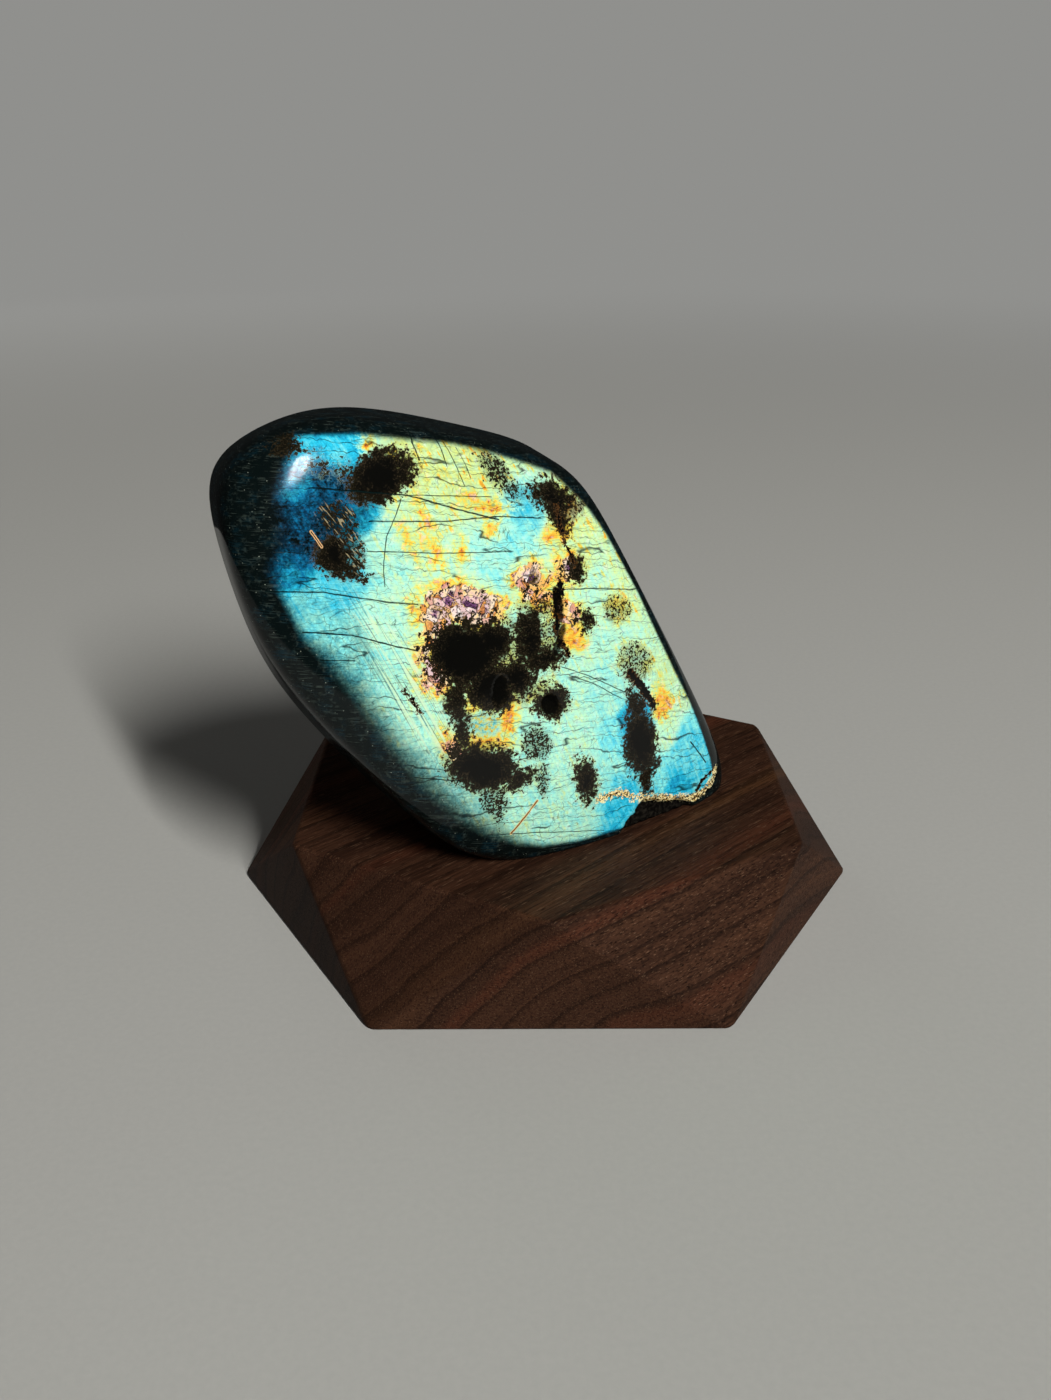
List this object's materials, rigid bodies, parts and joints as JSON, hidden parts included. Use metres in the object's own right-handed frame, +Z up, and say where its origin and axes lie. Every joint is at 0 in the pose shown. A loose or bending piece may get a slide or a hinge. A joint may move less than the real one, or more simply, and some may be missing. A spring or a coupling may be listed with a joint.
{
  "type": "labradorite free-form on a walnut stand",
  "caption": "Polished labradorite free-form with blue, teal and gold flash and dark inclusions, standing on its flat cut spot on a faceted dark walnut display stand.",
  "frame": {"origin": "centre of the stand's flat underside", "axes": "+Z up; +X to the viewer's right, through one lower corner of the stand; -Y towards the viewer, and the stone's flash face is turned from -Y towards +X"},
  "size_m": [0.1144, 0.1, 0.0932],
  "materials": {
    "polished_labradorite": "high polish over a blue, teal and gold flash with near-black inclusions",
    "walnut": "oiled dark walnut, satin, with open pores and growth rings"
  },
  "bodies": {
    "root": {"labradorite": "polished_labradorite", "walnut_stand": "walnut"}
  },
  "joints": []
}
